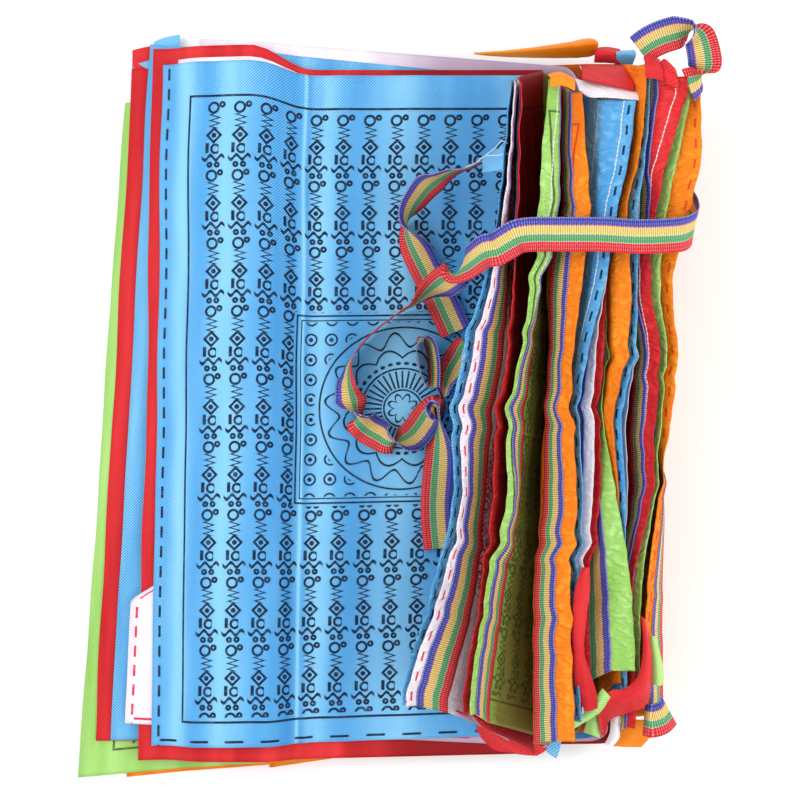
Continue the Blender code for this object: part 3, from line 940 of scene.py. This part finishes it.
class Field:
    """A number that varies over a surface: arithmetic on it adds maths nodes to its material."""

    def __init__(self, tree, socket):
        self.tree = tree
        self.socket = socket

    def maths(self, operation, *others, clamp=False):
        node = self.tree.nodes.new("ShaderNodeMath")
        node.operation = operation
        node.use_clamp = clamp
        for entry, value in zip(node.inputs, (self, *others)):
            if isinstance(value, Field):
                self.tree.links.new(value.socket, entry)
            else:
                entry.default_value = value
        return Field(self.tree, node.outputs[0])

    def __add__(self, other):
        return self.maths("ADD", other)

    def __sub__(self, other):
        return self.maths("SUBTRACT", other)

    def __mul__(self, other):
        return self.maths("MULTIPLY", other)

    def __abs__(self):
        return self.maths("ABSOLUTE")

    def sine(self):
        return self.maths("SINE")

    def centred(self, period):
        """The distance to the nearest of evenly spaced middles, with its sign."""
        return self.maths("FLOORED_MODULO", period) - period / 2

    def nearest(self, *others):
        least = self
        for other in others:
            least = least.maths("MINIMUM", other)
        return least

    def furthest(self, *others):
        most = self
        for other in others:
            most = most.maths("MAXIMUM", other)
        return most

    def clamped(self):
        """The value held between 0 and 1."""
        return self.maths("MULTIPLY", 1, clamp=True)

    def within(self, limit, soft=0.35):
        """1 where the value is under the limit and 0 where it is over it, with a soft step between."""
        return self.maths("MULTIPLY_ADD", -1 / soft, limit / soft + 0.5, clamp=True)


def length_of(x, y):
    return (x * x + y * y).maths("SQRT")


def box_distance(x, y, half_x, half_y):
    """How far outside a box about the middle a place is, and below zero inside it."""
    return (abs(x) - half_x).furthest(abs(y) - half_y)


def set_inputs(node, values):
    """Sets a node's inputs by their names."""
    for name, value in values.items():
        node.inputs[name].default_value = value


def surface_map(tree, name):
    """(across, along) as one of the piece's UV maps has them."""
    node = tree.nodes.new("ShaderNodeUVMap")
    node.uv_map = name
    parts = tree.nodes.new("ShaderNodeSeparateXYZ")
    tree.links.new(node.outputs[0], parts.inputs[0])
    return Field(tree, parts.outputs[0]), Field(tree, parts.outputs[1])


def cloth_map(tree, name):
    """(across, along) in millimetres, from one of a cloth's UV maps that are in metres."""
    across, along = surface_map(tree, name)
    return across * 1000, along * 1000


def noise_field(tree, u, v, scale_u, scale_v, detail=2):
    """Cloudy noise from 0 to 1 over the cloth, with its own scale each way."""
    join = tree.nodes.new("ShaderNodeCombineXYZ")
    tree.links.new((u * scale_u).socket, join.inputs[0])
    tree.links.new((v * scale_v).socket, join.inputs[1])
    clouds = tree.nodes.new("ShaderNodeTexNoise")
    set_inputs(clouds, {"Scale": 1, "Detail": detail})
    tree.links.new(join.outputs[0], clouds.inputs["Vector"])
    return Field(tree, clouds.outputs["Fac"])


# The print, measured from the free edge and from the top side edge
FRAME_MIDDLE = (163, 220.5)
FRAME_HALF = (141, 198.5)
BOX_MIDDLE = (163, 218)
BOX_HALF = (68, 61)
COLUMN_FIRST = 38.7
COLUMN_PITCH = 17.0
REPEAT_FIRST = 25.0
REPEAT = 43.0

# Printed dashes and stitches, as rows: how far in from the edge, half width, period, and half length
Dash = namedtuple("Dash", "inset half period reach")
FREE_EDGE_DASH = Dash(4.4, 0.8, 12.7, 3.7)
LOW_EDGE_DASH = Dash(3.5, 0.8, 23, 6)
HEADING_DASH = Dash(3.6, 0.7, 14.5, 3.4)
SEAMS = (Dash(7.0, 0.35, 3.2, 1.35), Dash(23.5, 0.35, 3.2, 1.35))
SEAM_COLOUR = (0.85, 0.83, 0.85)

# The twill's diagonal period, the ribs' pitch, and where the painted shade of the walls between the headings
# lies, measured from the heading, with the share of the deep colour that it takes
TWILL_PERIOD = 1.9
RIB_PITCH = 1.3
WALL_SHADE_START = 32
WALL_SHADE_END = 190
WALL_SHADE_SHARE = 0.82

# The tape's stripes: where each starts across it, and its colour
TAPE_STRIPES = [
    (0.0, (0.34, 0.28, 0.70)),
    (0.03, (0.035, 0.07, 0.50)),
    (0.19, (0.30, 0.10, 0.45)),
    (0.24, (1.0, 0.70, 0.20)),
    (0.48, (0.80, 0.76, 0.40)),
    (0.51, (0.10, 0.46, 0.17)),
    (0.70, (0.80, 0.62, 0.50)),
    (0.72, (0.88, 0.035, 0.04)),
]
# Painted shadow in the grooves between the tape's ribs and painted highlight on their tops
RIB_SHADOW = (0.05, 0.02, 0.05)
RIB_HIGHLIGHT = (0.98, 0.92, 0.80)
THREAD_TONES = ((0.72, 0.70, 0.74), (0.95, 0.94, 0.95))


def ornament_strokes(u, v):
    """Distance to the strokes of the small ornaments, which stand in columns and repeat down each one."""
    p = (u - (COLUMN_FIRST - COLUMN_PITCH / 2)).centred(COLUMN_PITCH)
    q = (v - REPEAT_FIRST).maths("FLOORED_MODULO", REPEAT)
    ring = abs(length_of(p + 1, q - 4.5) - 3.1)
    hook = abs(length_of(p - 4.6, q - 2.6) - 1.3)
    zigzag = abs(p - (q.centred(3.6).maths("ABSOLUTE") * 3.6 - 3.2)) * 0.6
    zigzag = zigzag.furthest(abs(q - 13.0) - 3.8)
    lozenge = abs(abs(p) + abs(q - 22.0) - 4.4) * 0.7
    core = length_of(p, q - 22.0) - 0.8
    arc = abs(length_of(p - 1.2, q - 30.6) - 2.6).furthest(p - 2.6)
    tick = box_distance(p + 4.2, q - 30.0, 0.3, 2.4)
    wave = abs(q - 36.2 - (p * (2 * math.pi / 7.2)).sine() * 1.5) * 0.7
    wave = wave.furthest(abs(p) - 6.6)
    twin = abs(length_of(abs(p) - 2.4, q - 40.6) - 1.2)
    return ring.nearest(hook, zigzag, lozenge, core, arc, tick, wave, twin)


def rosette_strokes(u, v):
    """Distance to the strokes of the boxed rosette of petals, rings and rays."""
    x = u - BOX_MIDDLE[0]
    y = v - BOX_MIDDLE[1]
    radius = length_of(x, y)
    angle = y.maths("ARCTAN2", x)
    outer = abs(radius - 45 - (angle * 14).sine() * 4.5) * 0.75
    middle = abs(radius - 33 - abs((angle * 6).sine()) * 5.5) * 0.8
    rings = abs(radius - 26).nearest(abs(radius - 12), abs(radius - 53))
    rays = abs((angle * 18).sine()) * radius * 0.055
    rays = rays.furthest(abs(radius - 19) - 5)
    beads = length_of((angle * (36 / (2 * math.pi))).centred(1) * 3.4, radius - 29.5) - 0.5
    petals = abs(radius - 5.5 - abs((angle * 4).sine()) * 4) * 0.8
    corner_x = x.centred(13)
    corner_y = y.centred(13)
    scrolls = abs(length_of(corner_x, corner_y) - 3.6).nearest(length_of(corner_x, corner_y) - 0.8)
    scrolls = scrolls.furthest(radius * -1 + 57)
    return outer.nearest(middle, rings, rays, beads, petals, scrolls)


def dash_row(off, along, dash):
    """How much of a row of dashes lies at this distance from the edge and this far along it."""
    return abs(off - dash.inset).within(dash.half) * abs(along.centred(dash.period)).within(dash.reach)


def print_ink(tree, dashed):
    """How much ink lies at each point of a flag: frame, ornaments, boxed rosette and dashes."""
    u, v = cloth_map(tree, "from_free_edge")
    frame_edge = box_distance(u - FRAME_MIDDLE[0], v - FRAME_MIDDLE[1], *FRAME_HALF)
    box_edge = box_distance(u - BOX_MIDDLE[0], v - BOX_MIDDLE[1], *BOX_HALF)
    lines = abs(frame_edge).within(0.75)
    lines = lines.furthest(abs(box_edge).within(0.6), abs(box_edge + 3).within(0.4))
    inside = frame_edge.within(-3) * (abs(u - FRAME_MIDDLE[0]) - FRAME_HALF[0]).within(-8)
    columns = ornament_strokes(u, v).within(0.8) * inside * (box_edge * -1).within(-2)
    rosette = rosette_strokes(u, v).within(0.6) * box_edge.within(-4)
    ink = lines.furthest(columns, rosette)
    if dashed == "edges":
        low_edge = v * -1 + FLAG_LENGTH
        ink = ink.furthest(dash_row(u, v, FREE_EDGE_DASH), dash_row(low_edge, u, LOW_EDGE_DASH))
    if dashed != "none":
        w, along = cloth_map(tree, "from_heading")
        ink = ink.furthest(dash_row(w, along, HEADING_DASH))
    fade = (noise_field(tree, u, v, 0.25, 0.25, 3) * 0.6 + 0.68).clamped()
    return ink * fade


def link_bump(tree, shader, height):
    """Bumps the surface by a height in millimetres."""
    bump = tree.nodes.new("ShaderNodeBump")
    set_inputs(bump, {"Strength": 1, "Distance": MM})
    tree.links.new(height.socket, bump.inputs["Height"])
    tree.links.new(bump.outputs[0], shader.inputs["Normal"])


def mix_colours(tree, share, first, second):
    """first where the share is 0 and second where it is 1, each a colour or a socket."""
    mix = tree.nodes.new("ShaderNodeMix")
    mix.data_type = "RGBA"
    entries = [entry for entry in mix.inputs if entry.type == "RGBA"]
    for entry, value in zip(entries, (first, second)):
        if isinstance(value, tuple):
            entry.default_value = (*value, 1)
        else:
            tree.links.new(value, entry)
    tree.links.new(share.socket, mix.inputs["Factor"])
    return [output for output in mix.outputs if output.type == "RGBA"][0]


def new_material(name):
    material = bpy.data.materials.new(name)
    material.use_nodes = True
    return material, material.node_tree, material.node_tree.nodes["Principled BSDF"]


def painted_satin_sheen(tree, u, v, sheen_bands):
    """How light the satin is: painted sheen and shade in bands that run along the flag, placed by the table or
    else by chance.
    """
    if not sheen_bands:
        return (noise_field(tree, u, v, 0.055, 0.006, 3) - 0.5) * 2.1 + 0.42
    drift = (noise_field(tree, u, v, 0.004, 0.009, 1) - 0.5) * 12
    tone = (noise_field(tree, u, v, 0.06, 0.008, 3) - 0.5) * 0.9 + 0.42
    for band in sheen_bands:
        near = abs(u + drift - band.u) if band.half > BROAD else abs(u - band.u)
        tone = tone + near.within(band.half * 0.8, band.half * 1.6) * band.tone
    return tone


def make_cloth(colour, dashed, seamed, wall_shaded, sheen_bands=()):
    """Printed satin twill of one colour, with its diagonal weave, painted sheen and shade in bands and in the
    crinkles near the heading, painted shade on the walls between the headings, and the tape's stitches.
    """
    ending = "_seamed" * seamed + "_walled" * wall_shaded + "_sheen_banded" * bool(sheen_bands)
    material, tree, shader = new_material(f"twill_{colour}_{dashed}{ending}")
    u, v = cloth_map(tree, "from_free_edge")
    weave = ((u + v) * (2 * math.pi / TWILL_PERIOD)).sine()
    mottle = noise_field(tree, u, v, 0.5, 0.5, 4)
    w, along = cloth_map(tree, "from_heading")
    # The crinkle bumps the strip near the heading and also lightens and darkens its colour: painted shade and
    # light of its creases
    strip = w.within(40, 30)
    crinkle = abs(noise_field(tree, w, along, 0.10, 0.13, 3) - 0.5) * 2
    # The tone carries painted sheen and shade, the satin's bands and the crinkles near the heading, along with
    # the cloth's random mottle and its twill lines
    tone = painted_satin_sheen(tree, u, v, sheen_bands) + (mottle - 0.5) * 0.35 + weave * TWILL_SHADE[colour]
    tone = (tone + (crinkle - 0.2) * strip * 1.6).clamped()
    shade = mix_colours(tree, tone, *CLOTH_SHADE_AND_SHEEN_TONES[colour])
    # Painted shade: the walls between the headings are darkened towards the deep colour, between two distances
    # from the heading
    if wall_shaded:
        wall = (w * -1).within(-WALL_SHADE_START, 14) * w.within(WALL_SHADE_END, 50) * WALL_SHADE_SHARE
        shade = mix_colours(tree, wall, shade, WALL_SHADE_COLOURS[colour])
    printed = mix_colours(tree, print_ink(tree, dashed), shade, INK_COLOURS[colour])
    height = weave * 0.08 + mottle * 0.25 + crinkle * strip * 2.6
    if seamed:
        near, far = (dash_row(w, along, seam) for seam in SEAMS)
        seams = near.furthest(far)
        printed = mix_colours(tree, seams * 0.9, printed, SEAM_COLOUR)
        height = height + seams * 0.35
    tree.links.new(printed, shader.inputs["Base Color"])
    set_inputs(shader, {"Roughness": 0.5, "Specular IOR Level": 0.16})
    link_bump(tree, shader, height)
    return material


def cloth_material(colour, dashed, seamed, wall_shaded):
    """The colour's cloth with these dashes, seams and painted shade on its walls, made once."""
    key = (colour, dashed, seamed, wall_shaded)
    if key not in cloths:
        cloths[key] = make_cloth(*key)
    return cloths[key]


def make_thread_material():
    material, tree, shader = new_material("white_thread")
    along = noise_field(tree, *surface_map(tree, "thread"), 900, 900, 2)
    tree.links.new(mix_colours(tree, along, *THREAD_TONES), shader.inputs["Base Color"])
    set_inputs(shader, {"Roughness": 0.7})
    return material


def make_tape_material():
    """Ribbed tape woven in blue, yellow, green and red stripes, with a violet line beside the blue, and
    painted shadow and highlight on its ribs.
    """
    material, tree, shader = new_material("striped_tape")
    across, along = surface_map(tree, "tape")
    along = along * 1000
    rib = (along * (2 * math.pi / RIB_PITCH)).sine()
    stagger = (along * (math.pi / RIB_PITCH)).sine()
    cross = rib * (across * (2 * math.pi * 9)).sine()
    place = across + stagger * 0.01
    ramp = tree.nodes.new("ShaderNodeValToRGB")
    ramp.color_ramp.interpolation = "CONSTANT"
    points = ramp.color_ramp.elements
    while len(points) < len(TAPE_STRIPES):
        points.new(1)
    for point, (start, rgb) in zip(points, TAPE_STRIPES):
        point.position = start
        point.color = (*rgb, 1)
    tree.links.new(place.clamped().socket, ramp.inputs[0])
    # Painted shadow in the rib grooves and painted highlight on the rib tops, made uneven by the worn noise
    dark = rib * -0.40 + cross * 0.14 + 0.18
    worn = noise_field(tree, across * 60, along, 0.4, 0.4, 3)
    dark = (dark + (worn - 0.5) * 0.35).clamped()
    ribbed = mix_colours(tree, dark, ramp.outputs[0], RIB_SHADOW)
    pale = (rib * 0.22 + cross * 0.16 - 0.08 + (worn - 0.5) * 0.4).clamped()
    ribbed = mix_colours(tree, pale, ribbed, RIB_HIGHLIGHT)
    tree.links.new(ribbed, shader.inputs["Base Color"])
    set_inputs(shader, {"Roughness": 0.6, "Specular IOR Level": 0.15})
    link_bump(tree, shader, rib * 0.22 + cross * 0.1 + worn * 0.2)
    return material


# The camera, whose lens and sensor are in millimetres, and its place
LENS = 74.4
SENSOR_WIDTH = 36
CAMERA_PLACE = (0.00095, 0, 1.071)

# The square lights: name, place, size and power in watts, and the point that they face
LIGHTS = (
    ("key", (-0.85, 0.25, 1.0), 0.8, 8),
    ("fill", (0.9, -0.5, 1.8), 1.2, 8),
    ("side", (1.2, 0.1, 0.8), 0.9, 7),
)
LIGHT_AIM = Vector((0, 0, 0.03))
SKY_STRENGTH = 0.84

# The floor's half width, and how far it lies under the bundle
FLOOR_REACH = 2.5
FLOOR_Z = -0.0003
FLOOR_SHADES = ((0.93, 0.93, 0.93), (0.95, 0.95, 0.95))


def make_camera():
    """The camera straight above the bundle."""
    camera_data = bpy.data.cameras.new("camera")
    camera_data.lens = LENS
    camera_data.sensor_width = SENSOR_WIDTH
    camera = add_object("camera", camera_data)
    camera.location = CAMERA_PLACE
    bpy.context.scene.camera = camera


def make_stage():
    """A pale floor under the bundle, a bright even sky and three large soft lights."""
    mesh = bpy.data.meshes.new("floor")
    corners = [(x * FLOOR_REACH, y * FLOOR_REACH, 0) for x, y in ((-1, -1), (1, -1), (1, 1), (-1, 1))]
    mesh.from_pydata(corners, [], [(0, 1, 2, 3)])
    material, tree, shader = new_material("floor_paint")
    grain = tree.nodes.new("ShaderNodeTexNoise")
    set_inputs(grain, {"Scale": 40})
    shade = mix_colours(tree, Field(tree, grain.outputs["Fac"]), *FLOOR_SHADES)
    tree.links.new(shade, shader.inputs["Base Color"])
    set_inputs(shader, {"Roughness": 0.9})
    mesh.materials.append(material)
    floor = add_object("floor", mesh)
    floor.location.z = FLOOR_Z

    world = bpy.data.worlds.new("sky")
    world.use_nodes = True
    sky = world.node_tree.nodes["Background"]
    set_inputs(sky, {"Color": (1, 1, 1, 1), "Strength": SKY_STRENGTH})
    bpy.context.scene.world = world
    for name, place, size, power in LIGHTS:
        light = bpy.data.lights.new(name, "AREA")
        light.shape = "SQUARE"
        light.size = size
        light.energy = power
        lamp = add_object(name, light)
        lamp.location = place
        lamp.rotation_euler = (LIGHT_AIM - Vector(place)).to_track_quat("-Z", "Y").to_euler()
    bpy.context.scene.view_settings.view_transform = "Standard"


make_camera()
make_stage()
cloths = {}
top_cloth = make_cloth("blue", DASHED[1], True, False, TOP_SHEEN_BANDS)
tape_material = make_tape_material()
for flag_number in range(len(OUTLINES)):
    make_flag(flag_number)
for tape_name, tape_stations in LOOSE_TAPES.items():
    make_loose_tape(tape_name, tape_stations)
for corner_number, (corner_colour, corner_rows) in enumerate(CORNERS, start=1):
    make_corner(corner_number, corner_colour, corner_rows)
make_threads()
